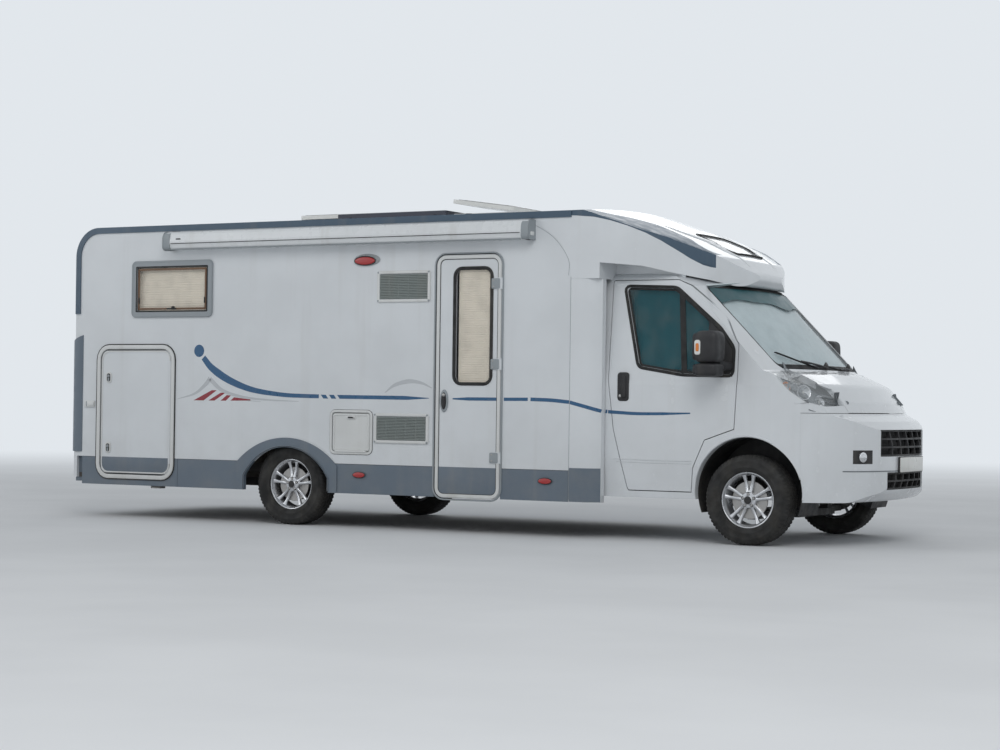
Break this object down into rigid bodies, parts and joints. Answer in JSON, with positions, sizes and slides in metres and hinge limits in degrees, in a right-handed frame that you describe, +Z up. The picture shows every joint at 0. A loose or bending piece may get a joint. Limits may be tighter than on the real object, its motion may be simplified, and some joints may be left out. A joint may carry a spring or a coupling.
{
  "type": "semi-integrated camper van",
  "caption": "Low-profile camper van: hollow coach body with garage, doors and windows on a panel-van cab, opening cab doors, bonnet and rooflights, steered front wheels.",
  "frame": {"origin": "centre of the bounding box at road level, under the middle of the vehicle", "axes": "+X to the front, +Y to the left, +Z up"},
  "size_m": [7.2938, 2.624, 2.7271],
  "materials": {
    "coach_white": "satin white sandwich panel",
    "cab_white": "gloss white paint",
    "skirt_grey": "satin grey-blue",
    "trim_blue": "dark blue-grey trim",
    "frame_grey": "grey window frame",
    "white_plastic": "white moulded plastic",
    "black_plastic": "black grained plastic",
    "acrylic": "tinted acrylic window",
    "cab_glazing": "green-tinted glass",
    "lamp_lens": "clear lamp lens",
    "tail_lens": "red lamp lens",
    "steel_dark": "black painted steel",
    "cast": "cast",
    "alloy": "silver painted alloy",
    "tyre": "black tyre rubber",
    "floor_board": "coated floor board",
    "seat_cloth": "woven seat cloth",
    "mat_foil": "silvered quilted mat",
    "solar": "dark solar cells under glass",
    "rooflight": "opal acrylic",
    "smoked": "smoked brown acrylic",
    "awning_white": "white coated aluminium"
  },
  "bodies": {
    "root": {"chassis_frame": "steel_dark", "engine_block": "cast", "front_subframe": "steel_dark", "rear_axle": "steel_dark", "coach_floor": "floor_board", "garage_deck": "floor_board", "side_wall_right": "coach_white", "side_wall_left": "coach_white", "rear_wall": "coach_white", "roof_panel": "coach_white", "front_cap": "cab_white", "corner_columns": "cab_white", "skirt_right": "skirt_grey", "skirt_left": "skirt_grey", "rear_bumper": "skirt_grey", "rear_corners": "skirt_grey", "cap_window": "smoked", "tail_lamps": "tail_lens", "roof_trim": "trim_blue", "cab_body": "cab_white", "front_bumper": "cab_white", "grille": "black_plastic", "headlamps": "lamp_lens", "windscreen": "cab_glazing", "screen_mat": "mat_foil", "window_frames": "frame_grey", "window_panes": "acrylic", "fridge_vents": "white_plastic", "rooflight_frames": "white_plastic", "solar_panel": "solar", "awning_cassette": "awning_white", "dashboard": "black_plastic", "steering_wheel": "black_plastic", "cab_seats": "seat_cloth"},
    "steer_right": {"knuckle_right": "cast"},
    "steer_left": {"knuckle_left": "cast"},
    "cab_door_right": {"cab_door_right": "cab_white", "cab_glass_right": "cab_glazing", "mirror_right": "black_plastic"},
    "cab_door_left": {"cab_door_left": "cab_white", "cab_glass_left": "cab_glazing", "mirror_left": "black_plastic"},
    "entry_door": {"entry_door": "coach_white", "entry_glass": "acrylic"},
    "garage_door_right": {"garage_door_right": "coach_white"},
    "garage_door_left": {"garage_door_left": "coach_white"},
    "service_flap": {"service_flap": "white_plastic"},
    "bonnet": {"bonnet": "cab_white"},
    "rooflight_front": {"rooflight_lid_front": "rooflight"},
    "rooflight_rear": {"rooflight_lid_rear": "rooflight"},
    "wheel_front_right": {"tyre_front_right": "tyre", "rim_front_right": "alloy"},
    "wheel_front_left": {"tyre_front_left": "tyre", "rim_front_left": "alloy"},
    "wheel_rear_right": {"tyre_rear_right": "tyre", "rim_rear_right": "alloy"},
    "wheel_rear_left": {"tyre_rear_left": "tyre", "rim_rear_left": "alloy"}
  },
  "joints": [
    {"name": "steering_right", "type": "hinge", "parent": "root", "child": "steer_right", "pos_m": [2.732, -0.905, 0.335], "axis": [0, 0, 1], "range_deg": [-33, 33]},
    {"name": "wheel_front_right_spin", "type": "hinge", "parent": "steer_right", "child": "wheel_front_right", "pos_m": [2.732, -0.905, 0.335], "axis": [0, 1, 0], "continuous": true},
    {"name": "steering_left", "type": "hinge", "parent": "root", "child": "steer_left", "pos_m": [2.732, 0.905, 0.335], "axis": [0, 0, 1], "range_deg": [-33, 33]},
    {"name": "wheel_front_left_spin", "type": "hinge", "parent": "steer_left", "child": "wheel_front_left", "pos_m": [2.732, 0.905, 0.335], "axis": [0, 1, 0], "continuous": true},
    {"name": "wheel_rear_right_spin", "type": "hinge", "parent": "root", "child": "wheel_rear_right", "pos_m": [-1.303, -0.99, 0.335], "axis": [0, 1, 0], "continuous": true},
    {"name": "wheel_rear_left_spin", "type": "hinge", "parent": "root", "child": "wheel_rear_left", "pos_m": [-1.303, 0.99, 0.335], "axis": [0, 1, 0], "continuous": true},
    {"name": "cab_door_right_hinge", "type": "hinge", "parent": "root", "child": "cab_door_right", "pos_m": [2.656, -1.031, 1.1], "axis": [0, 0, 1], "range_deg": [0, 68]},
    {"name": "garage_door_right_hinge", "type": "hinge", "parent": "root", "child": "garage_door_right", "pos_m": [-2.51, -1.158, 0.9], "axis": [0, 0, 1], "range_deg": [0, 150]},
    {"name": "cab_door_left_hinge", "type": "hinge", "parent": "root", "child": "cab_door_left", "pos_m": [2.656, 1.031, 1.1], "axis": [0, 0, -1], "range_deg": [0, 68]},
    {"name": "garage_door_left_hinge", "type": "hinge", "parent": "root", "child": "garage_door_left", "pos_m": [-2.51, 1.158, 0.9], "axis": [0, 0, -1], "range_deg": [0, 150]},
    {"name": "entry_door_hinge", "type": "hinge", "parent": "root", "child": "entry_door", "pos_m": [0.726, -1.158, 1.2], "axis": [0, 0, 1], "range_deg": [0, 150]},
    {"name": "service_flap_hinge", "type": "hinge", "parent": "root", "child": "service_flap", "pos_m": [-0.663, -1.158, 0.621], "axis": [1, 0, 0], "range_deg": [0, 100]},
    {"name": "bonnet_hinge", "type": "hinge", "parent": "root", "child": "bonnet", "pos_m": [3.011, 0, 1.28], "axis": [0, -1, 0], "range_deg": [0, 50]},
    {"name": "rooflight_front_hinge", "type": "hinge", "parent": "root", "child": "rooflight_front", "pos_m": [0.347, 0, 2.61], "axis": [0, 1, 0], "range_deg": [-8, 45]},
    {"name": "rooflight_rear_hinge", "type": "hinge", "parent": "root", "child": "rooflight_rear", "pos_m": [-1.403, 0, 2.61], "axis": [0, 1, 0], "range_deg": [0, 60]}
  ],
  "couplings": [
    {"joint": "steering_left", "follows": "steering_right", "ratio": 1}
  ]
}
